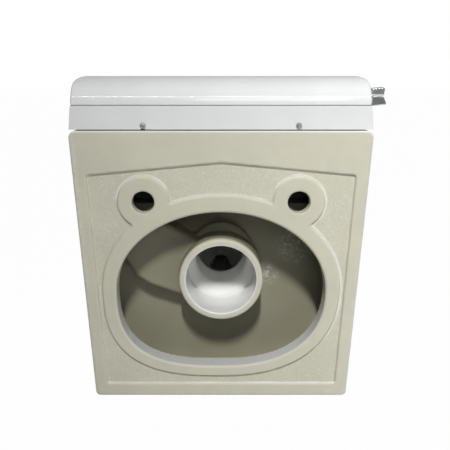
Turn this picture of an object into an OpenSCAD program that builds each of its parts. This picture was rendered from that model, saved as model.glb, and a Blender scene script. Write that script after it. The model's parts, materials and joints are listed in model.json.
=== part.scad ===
// Wall hung toilet with a low seat unit.
// Origin: midway between the wall bolts, on the wall plane.
// +Y points into the wall, -Y to the sitter's side, +Z up.

/* [Pan] */
// Width of the pan across its top
pan_top_w = 345; // [338:1:360]
// Width of the pan across its foot
pan_foot_w = 310; // [304:1:325]
// Height of the pan's top above the wall bolts
pan_above = 82; // [80:1:88]
// Depth of the pan's underside below the wall bolts
pan_below = 245; // [243:1:255]
// How far the pan reaches out from the wall
pan_reach = 540; // [530:5:580]
// How much shorter the pan is at its foot
foot_setback = 200; // [185:5:210]
// Length over which the front of the pan turns
pan_nose = 240; // [220:5:260]
// Wall of the casting
china = 11; // [9:0.5:12]
// Thickness of the deck that carries the seat unit
deck_t = 14; // [12:1:16]
// Round of the pan's top edge
top_round = 8; // [5:1:10]
// Round of the pan's foot edge
foot_round = 5; // [3:1:7]

/* [Bowl] */
// Width of the rim at each side
rim_side = 37; // [34:1:42]
// Width of the rim at the front
rim_front = 34; // [30:1:40]
// Distance from the wall to the bowl's rear edge
bowl_start = 165; // [162:1:175]
// Radius of the sump at the bottom of the bowl
sump_r = 30; // [28:1:32]
// Distance from the wall to the middle of the sump
sump_out = 288; // [284:1:296]

/* [Back of the pan] */
// Depth of the rough panel below the rim of the back
panel_sunk = 3; // [2:0.5:4]
// Width of the plain border at the sides and foot
border = 15.5; // [13:0.5:18]
// Height of the panel's upper corners above the bolts
panel_top = 31.5; // [30:0.5:36]
// Height of the panel's middle above its upper corners
panel_gable = 14.5; // [10:0.5:18]
// Half width of the ring round the pocket
ring_a = 141.5; // [138:0.5:144]
// Half height of the ring round the pocket
ring_b = 113.5; // [111:0.5:116]
// Width of the ring at its sides
ring_w = 17; // [15:0.5:19]
// Depth of the ring's middle below the bolts
ring_drop = 105; // [103:0.5:107]
// How much lower the pocket's middle is than the ring's
pocket_low = 3.5; // [2:0.5:4]
// Squareness of the ring's foot at the sitter's left, where 2 is an oval
foot_left = 2.8; // [2:0.1:3.2]
// Squareness of the ring's foot at the sitter's right, where 2 is an oval
foot_right = 2.35; // [2:0.05:3.2]
// Thickness of the plate round the pocket's mouth
lip_t = 22; // [20:1:26]
// How much wider the pocket is behind its mouth, at each side
pocket_side = 10; // [6:1:11]
// How much lower the pocket's foot is behind its mouth
pocket_dip = 22; // [16:1:23]
// Depth of the pocket at its lowest point
pocket_foot = 64; // [60:1:68]
// Lean of the pocket's back wall, in degrees
pocket_lean = 5; // [3:0.5:6]
// Radius of the boss round each wall bolt
ear_r = 30; // [28:0.5:32]

/* [Wall bolts] */
// Distance between the two wall bolts
bolt_gap = 180; // [176:1:184]
// Diameter of a wall bolt hole
bolt_hole = 25.8; // [24:0.2:27]
// Thickness of the plate that the bolts clamp
plate_t = 15; // [13:1:17]
// Radius of the access hole at each side
access_r = 17; // [15:0.5:18]
// Distance from the wall to the access hole's middle
access_out = 37; // [35:0.5:38]
// Play of a plug in its access hole
plug_play = 0.15; // [0.1:0.05:0.3]

/* [Outlet and trap] */
// Depth of the outlet's middle below the bolts
outlet_drop = 100; // [98:0.5:102]
// Outside diameter of the outlet spigot
outlet_d = 102; // [100:0.5:104]
// Inside diameter of the outlet spigot
outlet_bore = 85.5; // [80:0.5:88]
// How far the spigot's end stays inside the wall plane
outlet_inset = 17; // [14:0.5:20]
// Length of the spigot that a soil pipe sleeve grips
spigot_grip = 27; // [22:1:27]
// Radius of the trapway
trap_r = 32; // [30:0.5:33]
// Height of the trap's crest above the outlet's middle
crest_rise = 24; // [22:0.5:26]
// Distance from the wall to the trap's crest
crest_out = 122; // [120:0.5:126]
// Distance from the wall to the trap's lower bend
dip_out = 212; // [208:1:216]
// Depth of the lower bend's middle below the bolts
dip_drop = 196; // [194:0.5:198]

/* [Water ways in the pan] */
// Radius of the flush channel
flush_r = 13; // [12:0.5:14]
// Distance from the wall to the flush channel
flush_out = 38; // [36:0.5:39]
// Radius of the channel for the supply hose
hose_r = 17; // [16:0.5:18]
// Sideways place of the supply hose
hose_x = 48; // [46:0.5:49]
// Distance from the wall to the supply hose
hose_out = 62; // [60:0.5:63]

/* [Seat unit] */
// Gap between the pan's top and the unit's skirt
skirt_gap = 1.2; // [0.8:0.1:2]
// Height of the unit's floor above the deck
floor_up = 4; // [3.5:0.5:5]
// Wall of the moulded covers
skin = 2.5; // [2:0.1:3]
// Height of the seam above the deck
seam_up = 28; // [26:0.5:30]
// Height of the crown above the deck
crown_up = 59.8; // [58:0.1:62]
// Distance from the wall to the crown
crown_out = 62; // [58:1:66]
// Distance from the wall to the rear panel
panel_out = 4.5; // [4:0.5:6]
// How much narrower each side is at the foot of the unit than the pan
unit_inset = 0.5; // [0.2:0.1:1]
// Draft of the unit's sides between foot and seam
unit_draft = 2.7; // [2:0.1:3.5]
// Round of the crown's side edges
crown_round = 11; // [8:0.5:13]
// Width of the hinge bay at each side of the middle nose
bay_w = 54; // [52:1:56]

/* [Hinge] */
// Distance from the wall to the hinge axis
hinge_out = 118; // [116:0.5:119]
// Height of the hinge axis above the deck
hinge_up = 38; // [37.5:0.1:38.5]
// Radius of the hinge shafts
shaft_r = 5; // [4.5:0.1:5.5]
// Radial clearance of a turning fit
turn_play = 0.05; // [0.03:0.01:0.09]
// Radius of the damper bodies
damper_r = 8; // [7:0.1:8.4]

/* [Seat and lid] */
// How far the seat and lid stay inside the pan's outline
lid_inset = 1.5; // [1:0.5:3]
// Thickness of the seat
seat_t = 20; // [18:0.5:20.5]
// Height of the seat's underside above the rim
seat_lift = 4; // [3.5:0.5:4.5]
// Gap between seat and lid
lid_gap = 2; // [1.5:0.1:2.4]
// Height of the lid's top above the hinge axis
lid_over = 14; // [13.5:0.1:14.5]
// Fall of the lid's top towards the front
lid_fall = 12; // [8:0.5:13]
// Wall of the lid
lid_wall = 4; // [3.5:0.1:4]
// Half width of the opening in the seat
seat_open_a = 105; // [98:1:110]
// Half length of the opening in the seat
seat_open_b = 148; // [140:1:152]

/* [Wash knob and valve] */
// Distance from the wall to the knob's axis
knob_out = 50; // [48:0.5:52]
// Height of the knob's axis above the deck
knob_up = 35.5; // [35:0.1:36.5]
// Radius of the knob's spindle
spindle_r = 4; // [3.5:0.1:4.5]
// Height of the knob's wings from its axis
wing = 11; // [9:0.5:12]
// Reach of the knob from its bezel
knob_reach = 22; // [20:0.5:24]

/* [Wash nozzles] */
// Radius of a wash nozzle
nozzle_r = 5; // [4.5:0.1:5.2]
// Sideways distance of each nozzle from the middle
nozzle_x = 9; // [8.5:0.1:10]
// Length of a wash nozzle
nozzle_len = 72; // [68:1:74]
// Slope of the nozzles, in degrees
nozzle_slope = 8; // [7:0.5:8.5]

/* [Hidden] */

$fn = 48;
glaze = "white";
plastic = "#ececea";
rubber = "#4a4a4a";
brass = "#c8a85a";
chrome = "#c4c8cc";
leaf = 0.01;
over = 1;
far = 100;
pan_h = pan_above + pan_below;
undercut = 2.6;
squareness = 3;
taper = atan((pan_top_w - pan_foot_w) / 2 / pan_h);
pocket_a = ring_a - ring_w;
pocket_b = ring_b - ring_w;
pocket_z = -ring_drop - pocket_low;
pocket_deep = 130;
bolt_x = bolt_gap / 2;
duct_in = 18;
duct_half = 20;
ledge_out = plate_t + 17;
ledge_z = -7;
access_deep = 8;
plug_in = 9;
plug_rim = 4;
plug_rim_t = 1.4;
plug_crown_t = 1;
duct_deep = 58;
duct_wall = 9;
outlet_r = outlet_d / 2;
shoulder_r = outlet_r - 0.8;
arch_r = 41;
arch_up = 21;
arch_deep = 40;
spigot_root = 62;
spigot_in = 90;
trap_joint = 0.6;
sump = [0, -sump_out, -dip_drop];
dip = [0, -dip_out, -dip_drop];
crest = [0, -crest_out, -outlet_drop + crest_rise];
root = [0, -spigot_root, -outlet_drop];
flush_z = pan_above - 32;
flush_in = bowl_start - 20;
dowel_x = 77.5;
dowel_out = 105;
dowel_r = 7;
dowel_len = 24;
bolt_r = 3;
bolt_tail = 4;
socket_r = 2.6;
socket_floor = 1;
unit_foot = pan_above + skirt_gap;
floor_z = pan_above + floor_up;
floor_top = floor_z + skin;
seam_z = pan_above + seam_up;
unit_half = pan_top_w / 2 - unit_inset;
nose_half = unit_half - bay_w;
seam_half = unit_half - unit_draft;
crown_half = seam_half - 0.7;
base_back = panel_out + skin + 0.2;
hinge_z = pan_above + hinge_up;
nose_r = 12;
unit_front = hinge_out + nose_r + 1;
bay_out = hinge_out - 18;
bay_floor = pan_above + 19;
valley_out = hinge_out - 14;
valley_z = hinge_z + 9.8;
seat_z = pan_above + seat_lift;
seat_top = seat_z + seat_t;
lid_z = seat_top + lid_gap;
lid_back = unit_front + 2.5;
lid_top = hinge_z + lid_over;
lid_front = pan_reach - lid_inset - 1;
lid_round = 10;
arm_r = 9.5;
arm_play = 2;
seat_arm = [nose_half + 3, nose_half + 19];
lid_arm = [nose_half + 23, nose_half + 50];
shaft_end = lid_arm[1] - 2;
boss_r = 13.6;
damper_in = 56;
damper_len = 50;
shaft_in = 6.5;
post_top = hinge_z - damper_r - 0.05;
seat_shell = 8;
seat_wall = 6;
seat_half = pan_top_w / 2 - lid_inset - 0.5;
seat_pad_r = 7;
seat_pads = [[seat_half - 26.5, lid_back + 81.5], [seat_half - 50.5, lid_front - 75.5]];
lid_pad_out = 280;
lid_pad_len = 14;
lid_pad_t = 3;
head_r = 6;
head_seat = 1.5;
head_play = 0.3;
plate_side = 22;
plate_half = 16;
pad_r = 8;
pad_in = 22;
pad_out = [24, 84];
screw_r = 1.8;
screw_x = bolt_x - 2;
screw_z = unit_foot + 4.3;
screw_len = 16;
boss_w = 10;
boss_up = 1.5;
slit = 3;
slit_up = 1.6;
screw_head_t = 1.8;
cross_len = 3.8;
cross_w = 0.8;
post_in = 8;
post_w = 12;
post_deep = 8;
hole_play = 0.2;
nozzle_z = pan_above + 12;
cradle_len = 56;
cradle_half = 7.6;
cradle_room = 4.7;
slot_half = 2 * nozzle_x + 1;
slot_h = 17;
notch_half = slot_half + 5;
notch_deep = 60;
notch_h = 15;
cradle_tail = 3;
cradle_foot = [20, 10, 8];
tip_len = 1.2;
jet_r = 0.6;
jet_gap = 1.6;
jet_in = 7;
valve_side = 29.3;
valve_w = 42;
valve_x = [seam_half - valve_side - valve_w, seam_half - valve_side];
valve_out = [27, 84];
valve_top = pan_above + 49;
cartridge_r = 11;
cartridge_in = 12;
spindle_in = 8;
knob_z = pan_above + knob_up;
knob_foot = 2.3;
knob_bore = 8;
knob_half = 6;
bezel_t = 2;
bezel_r = 7;
neck_r = 8.5;
neck_len = 6;
cartridge_len = 20;
supply_r = 6;
elbow_over = 1.2;
supply_z = pan_above + 27;
nipple_r = 10.4;
nipple_foot = pan_above - 34;
nut_h = 7;
nut_foot = floor_z - nut_h;
nut_gap = 0.5;
hex_r = 15;
hex_h = 6;
collar_r = 9;
collar_top = floor_top + 10;
pipe_r = 11;
pipe_bore = 9;
pipe_foot = pan_above - 22;
pipe_z = pan_above + 22;
pipe_bend = 14;
pipe_open = 30;
nozzle_y = -(flush_out + pipe_r + cradle_room + (nozzle_len + cradle_tail) * cos(nozzle_slope)
  + cradle_half * sin(nozzle_slope));
seal_foot = pan_above - 12;
seal_h = 10;
tube_r = 3;
tube_line = 79;
tube_z = [pan_above + 16, pan_above + 23];
arm_near = 45;
arm_far = 105;

// Power that keeps the sign, for soft squares and ovals
function soft(c, n) = sign(c) * pow(abs(c), 2 / n);
// Half width of the pan at height z
function side_x(z) = pan_foot_w / 2 + (pan_top_w - pan_foot_w) / 2 * (z + pan_below) / pan_h;
// Reach of the pan at height z
function reach(z) = pan_reach - foot_setback * pow((pan_above - z) / pan_h, undercut);
// Plan with a straight back on y = -back and a soft square front
function plan(half, front, back, turn) = concat(
  [[half, -back]],
  [for (t = [0:7.5:180]) [half * soft(cos(t), squareness),
    -(front - turn) - turn * soft(sin(t), squareness)]],
  [[-half, -back]]);
// Outline of the ring and the pocket: an oval above, squarer below
function ring_outline(a, b, z) = [for (t = [0:5:355])
  let (n = sin(t) >= 0 ? 2 : cos(t) >= 0 ? foot_left : foot_right)
    [a * soft(cos(t), n), z + b * soft(sin(t), n)]];
// Closed oval outline
function oval(a, b, x = 0, y = 0) = [for (t = [0:5:355]) [x + a * cos(t), y + b * sin(t)]];
// Bowl size at depth share s: 1 at the rim, 0 at the sump
function bowl_share(s) = pow(1 - pow(s, 2.2), 0.625);

// Round bar from point p to point q
module bar(p, q, r) {
  d = q - p;
  translate(p)
    rotate([0, acos(d[2] / norm(d)), atan2(d[1], d[0])])
      cylinder(r = r, h = norm(d));
}

// Prism of an outline in X and Z, between two distances from the wall
module from_back(near, far) {
  translate([0, -near, 0]) rotate([90, 0, 0]) linear_extrude(height = far - near) children();
}

// Prism of an outline in Y and Z, between two places across
module across(left, right) {
  translate([left, 0, 0]) rotate([90, 0, 90]) linear_extrude(height = right - left) children();
}

module pan_slice(z, inset, back) {
  lift = z > 0 ? leaf : 0;
  translate([0, 0, z - lift])
    linear_extrude(height = leaf)
      polygon(plan(side_x(z) - inset, reach(z) - inset, back, pan_nose));
}

// Body of the pan, drawn in by inset, between two heights
module pan_block(inset, foot, top, back, round_top, round_foot) {
  hull() {
    for (a = [0:22.5:90])
      pan_slice(top - round_top * (1 - sin(a)), inset + round_top * (1 - cos(a)),
        back + round_top / 3 * (1 - cos(a)));
    for (s = [0.12, 0.3, 0.42, 0.52, 0.61, 0.69, 0.76, 0.83, 0.89, 0.94])
      pan_slice(top - s * (top - foot), inset, back);
    for (a = [0:30:90])
      pan_slice(foot + round_foot * (1 - sin(a)), inset + round_foot * (1 - cos(a)), back);
  }
}

// Inside of the bowl, grown by the wall for its outside
module bowl(grow) {
  a = pan_top_w / 2 - rim_side;
  b = (pan_reach - rim_front - bowl_start) / 2;
  mid = (pan_reach - rim_front + bowl_start) / 2;
  deep = pan_above + dip_drop;
  hull() {
    for (s = [0, 0.12, 0.3, 0.45, 0.6, 0.72, 0.83, 0.92, 1]) {
      k = bowl_share(s);
      translate([0, -sump_out + (sump_out - mid) * k, pan_above - s * deep])
        linear_extrude(height = leaf)
          polygon(oval(sump_r + (a - sump_r) * k + grow, sump_r + (b - sump_r) * k + grow));
    }
    translate([0, -mid, pan_above + over])
      linear_extrude(height = leaf)
        polygon(oval(a + grow, b + grow));
  }
}

// Space of the pocket without what stands in it: the mouth and the wider room behind it
module pocket_space(grow, mouth) {
  foot_z = pocket_z - pocket_b;
  intersection() {
    union() {
      from_back(mouth, lip_t + over)
        polygon(ring_outline(pocket_a + grow, pocket_b + grow, pocket_z));
      from_back(lip_t - grow, pocket_deep)
        polygon(ring_outline(pocket_a + pocket_side + grow, pocket_b + pocket_dip / 2 + grow,
          pocket_z - pocket_dip / 2));
    }
    translate([-2 * far, -pocket_foot - grow, foot_z])
      rotate([pocket_lean, 0, 0])
        translate([0, 0, -far]) cube([4 * far, 3 * far, 4 * far]);
  }
}

// Side arm of the trap's outside, seen in the pocket
module trap_arm() {
  from_back(arm_near, arm_far)
    polygon([[30, -60], [62, -36], [96, -18], [150, -40], [122, -84], [110, -107], [92, -119],
      [30, -141]]);
}

module pocket() {
  difference() {
    pocket_space(0, -over);
    translate([0, -outlet_inset, -outlet_drop])
      rotate([90, 0, 0]) {
        cylinder(r = outlet_r, h = spigot_grip);
        cylinder(r = shoulder_r, h = spigot_in);
      }
    bar(root, crest, trap_r + china);
    translate([0, -spigot_root, -outlet_drop + arch_up])
      rotate([90, 0, 0]) cylinder(r = arch_r, h = arch_deep);
    trap_arm();
  }
}

// Way from the sump over the crest to the outlet
module trap(grow) {
  translate(sump) sphere(r = trap_r + grow + trap_joint);
  bar(sump, dip, trap_r + grow);
  translate(dip) sphere(r = trap_r + grow + trap_joint);
  bar(dip, crest, trap_r + grow);
  translate(crest) sphere(r = trap_r + grow + trap_joint);
  bar(crest, root, trap_r + grow);
}

// Duct behind each wall bolt, with a ledge that the nut rests above
module duct(grow) {
  inner = bolt_x - duct_in - grow;
  outer = side_x(-duct_half) - china;
  translate([inner, -ledge_out - grow, -duct_half - grow])
    cube([outer - inner, ledge_out - plate_t + grow, 2 * (duct_half + grow)]);
  translate([inner, -duct_deep - grow, ledge_z - grow])
    cube([outer - inner, duct_deep - plate_t + grow, duct_half - ledge_z + 2 * grow]);
}

// Place of the side wall's face at the access hole, axis outwards
module at_access() {
  translate([side_x(0), -access_out, 0]) rotate([0, 90 + taper, 0]) children();
}

module both_sides() {
  for (s = [0, 1]) mirror([s, 0, 0]) children();
}

module flush_way(grow) {
  translate([0, -flush_out, flush_z]) cylinder(r = flush_r + grow, h = pan_above - flush_z + over);
  translate([0, -flush_out, flush_z]) sphere(r = flush_r + grow + trap_joint);
  translate([0, -flush_out, flush_z]) rotate([90, 0, 0]) cylinder(r = flush_r + grow, h = flush_in);
}

// Height of the pocket's ceiling at a distance from its middle
function ceiling(x) = pocket_z + pocket_b * sqrt(1 - pow(x / pocket_a, 2));

module hose_way(grow) {
  foot = ceiling(hose_x + hose_r) - 4;
  translate([-hose_x, -hose_out, foot]) cylinder(r = hose_r + grow, h = pan_above - foot + over);
}

// Hollow inside the double walls
module casting_hollow() {
  difference() {
    pan_block(china, -pan_below + china, pan_above - deck_t, plate_t, 2, 2);
    bowl(china);
    pocket_space(china, -over);
    trap(china);
    bar(root, crest, outlet_r);
    both_sides() duct(duct_wall);
    flush_way(duct_wall);
    hose_way(duct_wall - 2);
  }
}

module back_panel() {
  top_x = side_x(panel_top) - border;
  foot_z = -pan_below + border + 1;
  foot_x = side_x(foot_z) - border;
  from_back(-over, panel_sunk) difference() {
    polygon([[top_x, panel_top], [0, panel_top + panel_gable], [-top_x, panel_top],
      [-foot_x, foot_z], [foot_x, foot_z]]);
    polygon(ring_outline(ring_a, ring_b, -ring_drop));
    for (s = [-1, 1]) translate([s * bolt_x, 0]) circle(r = ear_r);
  }
}

module pan() {
  color(glaze) difference() {
    pan_block(0, -pan_below, pan_above, 0, top_round, foot_round);
    casting_hollow();
    bowl(0);
    pocket();
    trap(0);
    translate([0, -outlet_inset + over, -outlet_drop])
      rotate([90, 0, 0]) cylinder(d = outlet_bore, h = spigot_root + 10 - outlet_inset);
    back_panel();
    both_sides() {
      translate([bolt_x, over, 0]) rotate([90, 0, 0]) cylinder(d = bolt_hole, h = plate_t + 2 * over);
      duct(0);
      at_access() translate([0, 0, -china - access_deep])
        cylinder(r = access_r, h = china + access_deep + 2 * over);
      translate([dowel_x, -dowel_out, pan_above - deck_t - over])
        cylinder(r = dowel_r + 0.1, h = deck_t + 2 * over);
    }
    flush_way(0);
    hose_way(0);
  }
}

module side_plugs() {
  color(plastic) both_sides() at_access() {
    translate([0, 0, -plug_in]) cylinder(r = access_r - plug_play, h = plug_in);
    cylinder(r = access_r + plug_rim, h = plug_rim_t);
    translate([0, 0, plug_rim_t])
      cylinder(r1 = access_r + plug_rim, r2 = access_r + plug_rim - plug_rim_t, h = plug_crown_t);
  }
}

module deck_dowels() {
  color(rubber) both_sides() translate([dowel_x, -dowel_out, pan_above - dowel_len]) difference() {
    cylinder(r = dowel_r, h = dowel_len);
    translate([0, 0, -over]) cylinder(r = bolt_r + turn_play, h = dowel_len + 2 * over);
  }
}

module deck_bolts() {
  color(chrome) both_sides() translate([dowel_x, -dowel_out, 0]) {
    translate([0, 0, pan_above - dowel_len - bolt_tail])
      cylinder(r = bolt_r, h = dowel_len + bolt_tail + head_seat);
    difference() {
      translate([0, 0, pan_above + head_seat]) cylinder(r = head_r, h = floor_up - head_seat - head_play);
      translate([0, 0, pan_above + head_seat + socket_floor])
        cylinder(r = socket_r, h = floor_up, $fn = 6);
    }
  }
}

module mounting_plate() {
  color(chrome) difference() {
    translate([-dowel_x - plate_side, -dowel_out - plate_half, pan_above])
      cube([2 * (dowel_x + plate_side), 2 * plate_half, floor_up]);
    both_sides() translate([dowel_x, -dowel_out, pan_above]) {
      translate([0, 0, -over]) cylinder(r = bolt_r + head_play, h = 4 * over);
      translate([0, 0, head_seat]) cylinder(r = head_r + head_play, h = floor_up);
    }
  }
}

module base_pads() {
  color(rubber) both_sides() for (y = pad_out)
    translate([unit_half - pad_in, -y, pan_above]) cylinder(r = pad_r, h = floor_up);
}

// Trapezium of the unit between foot and seam, drawn in by inset
module skirt_outline(inset, low, high) {
  polygon([[-unit_half + inset, low], [unit_half - inset, low],
    [seam_half - inset, high], [-seam_half + inset, high]]);
}

// Space that the hinge arms swing in, at both sides of the nose
module hinge_bays(grow, low) {
  both_sides() translate([nose_half - grow, -unit_front - over, low])
    cube([far, unit_front + over - bay_out + grow, far]);
}

module unit_base() {
  color(plastic) difference() {
    union() {
      difference() {
        from_back(base_back, unit_front) skirt_outline(0, unit_foot, seam_z);
        difference() {
          from_back(base_back - over, unit_front - skin) skirt_outline(skin, floor_top, seam_z + over);
          hinge_bays(skin, bay_floor - skin);
        }
        from_back(base_back - over, unit_front + over) square_under();
        hinge_bays(0, bay_floor);
      }
      both_sides() {
        translate([screw_x - boss_w / 2, -base_back - screw_len + over, screw_z - boss_w / 2 + boss_up])
          cube([boss_w, screw_len - over, boss_w]);
        translate([dowel_x - post_in, -hinge_out - post_deep / 2, floor_top - over / 2])
          cube([post_w, post_deep, post_top - floor_top + over / 2]);
      }
    }
    both_sides() translate([screw_x, over, screw_z])
      rotate([90, 0, 0]) cylinder(r = screw_r + turn_play, h = base_back + screw_len);
    translate([-hose_x, -hose_out, floor_z - over]) cylinder(r = nipple_r + hole_play, h = skin + 2 * over);
    translate([0, -flush_out, floor_z - over])
      cylinder(r = pipe_r + 2 * hole_play, h = skin + 2 * over);
    translate([-slot_half, -unit_front - over, floor_top])
      cube([2 * slot_half, skin + 2 * over, slot_h]);
  }
}

// Room under the floor for the plate and the pads
module square_under() {
  polygon([[-unit_half + skin, unit_foot - over], [unit_half - skin, unit_foot - over],
    [unit_half - skin, floor_z], [-unit_half + skin, floor_z]]);
}

module rear_panel() {
  color(plastic) difference() {
    from_back(panel_out, panel_out + skin) skirt_outline(0, unit_foot, seam_z - 0.4);
    both_sides() translate([screw_x, over, screw_z])
      rotate([90, 0, 0]) cylinder(r = screw_r + hole_play, h = panel_out + skin + 2 * over);
    translate([screw_x, over, unit_foot - slit_up])
      rotate([90, 0, 0]) cylinder(r = slit, h = panel_out + skin + 2 * over);
  }
}

module panel_screws() {
  color(chrome) both_sides() translate([screw_x, -panel_out, screw_z]) difference() {
    union() {
      rotate([90, 0, 0]) cylinder(r = screw_r, h = screw_len);
      rotate([-90, 0, 0]) cylinder(r1 = 2 * screw_r, r2 = 2 * screw_r - over, h = screw_head_t);
    }
    for (a = [45, 135]) rotate([0, a, 0])
      translate([-cross_len / 2, screw_head_t - cross_w, -cross_w / 2])
        cube([cross_len, 2 * over, cross_w]);
  }
}

// Side view of the top cover, rear foot round over the crown to the nose
function cover_profile() = concat(
  [for (t = [0:10:90]) [-crown_out + (crown_out - panel_out) * soft(cos(t), 2.5),
    seam_z + (crown_up - seam_up) * soft(sin(t), 2.5)]],
  [for (s = [0.2:0.2:1]) [-crown_out - (valley_out - crown_out) * s,
    valley_z + (pan_above + crown_up - valley_z) * (1 + cos(180 * s)) / 2]],
  [for (t = [60:20:180]) [-hinge_out + nose_r * cos(t), hinge_z + nose_r * sin(t)]],
  [[-unit_front, seam_z]]);

// Rear view of the top cover
function cover_front() = let (top = pan_above + crown_up + over, r = crown_round) concat(
  [[-seam_half, seam_z - over]],
  [for (t = [180:-15:90]) [-crown_half + r + r * cos(t), top - over - r + r * sin(t)]],
  [for (t = [90:-15:0]) [crown_half - r + r * cos(t), top - over - r + r * sin(t)]],
  [[seam_half, seam_z - over]]);

module cover_form(inset) {
  intersection() {
    across(-seam_half, seam_half) offset(delta = -inset) polygon(cover_profile());
    from_back(-over, unit_front + over) offset(delta = -inset) polygon(cover_front());
  }
}

module top_cover() {
  color(plastic) difference() {
    cover_form(0);
    difference() {
      union() {
        cover_form(skin);
        translate([-seam_half + skin, -unit_front + skin, seam_z - over])
          cube([2 * (seam_half - skin), unit_front - skin - panel_out - skin, skin + 3 * over]);
      }
      hinge_bays(skin, seam_z - 2 * over);
    }
    hinge_bays(0, seam_z - 2 * over);
    both_sides() translate([nose_half - 2 * skin, -hinge_out, hinge_z])
      rotate([0, 90, 0]) cylinder(r = shaft_r + turn_play, h = 3 * skin);
    translate([-seam_half - over, -knob_out, knob_z])
      rotate([0, 90, 0]) cylinder(r = spindle_r + 0.6, h = 10);
  }
}

module damper() {
  translate([0, -hinge_out, hinge_z]) rotate([0, 90, 0]) {
    translate([0, 0, nose_half - damper_in]) cylinder(r = damper_r, h = damper_len);
    translate([0, 0, nose_half - shaft_in])
      cylinder(r = shaft_r, h = shaft_end - nose_half + shaft_in);
  }
}

module left_damper() {
  color(chrome) damper();
}

module right_damper() {
  color(chrome) mirror([1, 0, 0]) damper();
}

module hinge_bore(from, to) {
  translate([from, -hinge_out, hinge_z])
    rotate([0, 90, 0]) cylinder(r = shaft_r + turn_play, h = to - from);
}

module seat_plan(inset, low, high) {
  translate([0, 0, low]) linear_extrude(height = high - low)
    polygon(plan(seat_half - inset, lid_front - 0.5 - inset, lid_back + inset, pan_nose));
}

module seat_hole(grow, low, high) {
  mid = (pan_reach - rim_front + bowl_start) / 2;
  translate([0, 0, low]) linear_extrude(height = high - low)
    polygon(oval(seat_open_a + grow, seat_open_b + grow, 0, -mid));
}

module seat_ring() {
  color(plastic) difference() {
    union() {
      difference() {
        seat_plan(0, seat_z, seat_top);
        difference() {
          seat_plan(seat_wall, seat_z - over, seat_top - seat_shell);
          seat_hole(seat_wall, seat_z - 2 * over, seat_top);
        }
      }
      both_sides() {
        across(seat_arm[0], seat_arm[1]) polygon([
          [-hinge_out - 3, hinge_z + 8.6], [-hinge_out + 7, hinge_z - 6],
          [-lid_back, pan_above + 22], [-lid_back, seat_top - seat_shell - 0.5],
          [-lid_back - 30, seat_top - seat_shell - 0.5], [-lid_back - 30, seat_top]]);
        translate([seat_arm[0], -hinge_out, hinge_z])
          rotate([0, 90, 0]) cylinder(r = arm_r, h = seat_arm[1] - seat_arm[0]);
      }
    }
    seat_hole(0, seat_z - over, seat_top + over);
    both_sides() hinge_bore(seat_arm[0] - over, seat_arm[1] + over);
    translate([-notch_half, -lid_back - notch_deep, seat_z - over])
      cube([2 * notch_half, notch_deep + arm_r, notch_h + over]);
  }
}

module seat_buffers() {
  color(rubber) both_sides() for (p = seat_pads)
    translate([p[0], -p[1], pan_above]) cylinder(r = seat_pad_r, h = seat_top - seat_shell - pan_above);
}

// Side view of the lid, lowered by drop
module lid_side(drop) {
  polygon([[-lid_back, lid_z - over], [-lid_back, lid_top - drop],
    [-lid_front + lid_round, lid_top - lid_fall - drop],
    [-lid_front + 0.3 * lid_round, lid_top - lid_fall - 0.3 * lid_round - drop],
    [-lid_front - over, lid_top - lid_fall - 0.9 * lid_round - drop], [-lid_front - over, lid_z - over]]);
}

module lid_block(inset, drop, low) {
  intersection() {
    translate([0, 0, low]) linear_extrude(height = 40)
      polygon(plan(pan_top_w / 2 - lid_inset - inset, lid_front - inset, lid_back + inset, pan_nose));
    across(-pan_top_w, pan_top_w) lid_side(drop);
  }
}

module lid() {
  color(plastic) difference() {
    union() {
      difference() {
        lid_block(0, 0, lid_z);
        lid_block(lid_wall, lid_wall, lid_z - over);
        both_sides() translate([seat_arm[0] - arm_play, -lid_back - lid_wall - over, lid_z - over])
          cube([seat_arm[1] - seat_arm[0] + 2 * arm_play, lid_wall + 2 * over,
            hinge_z + arm_r + arm_play - lid_z]);
      }
      both_sides() {
        translate([lid_arm[0], -hinge_out, hinge_z])
          rotate([0, 90, 0]) cylinder(r = boss_r, h = lid_arm[1] - lid_arm[0]);
        translate([lid_arm[0], -lid_back - 2, lid_z])
          cube([lid_arm[1] - lid_arm[0], lid_back + 2 - hinge_out, lid_top - lid_z]);
      }
    }
    both_sides() hinge_bore(lid_arm[0] - over, shaft_end + 0.4);
  }
}

module lid_buffers() {
  color(rubber) {
    both_sides() translate([pan_top_w / 2 - lid_inset - over - lid_pad_t, -lid_pad_out, seat_top])
      cube([lid_pad_t, lid_pad_len, lid_gap]);
    translate([-lid_pad_len / 2, -lid_front + over, seat_top]) cube([lid_pad_len, lid_pad_t, lid_gap]);
  }
}

module knob_at(x) {
  translate([-seam_half - x, -knob_out, knob_z]) rotate([0, -90, 0]) children();
}

module knob_bezel() {
  color(chrome) knob_at(0) difference() {
    cylinder(r = bezel_r, h = bezel_t);
    translate([0, 0, -over]) cylinder(r = spindle_r + 0.4, h = bezel_t + 2 * over);
  }
}

// Waisted grip with two wings, wider at the lower one
module wash_knob() {
  color(chrome) difference() {
    union() {
      knob_at(knob_foot) cylinder(r = neck_r, h = neck_len);
      translate([-seam_half - knob_foot, -knob_out + knob_half, knob_z])
        rotate([90, 0, 0]) linear_extrude(height = 2 * knob_half)
          polygon([[-2, wing - 1.2], [-knob_reach + 3.2, wing], [-knob_reach + 0.6, wing - 1.6],
            [-knob_reach + 1.8, 0.6], [-knob_reach - 2.4, -wing + 3], [-knob_reach - 1.4, -wing + 1.8],
            [-2, -wing]]);
    }
    knob_at(knob_foot - over) cylinder(r = spindle_r + 0.02, h = knob_bore + over);
  }
}

module knob_spindle() {
  color(chrome) translate([-valve_x[1] + spindle_in, -knob_out, knob_z]) rotate([0, -90, 0])
    cylinder(r = spindle_r, h = seam_half + knob_foot + knob_bore - valve_x[1] + spindle_in);
}

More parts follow.
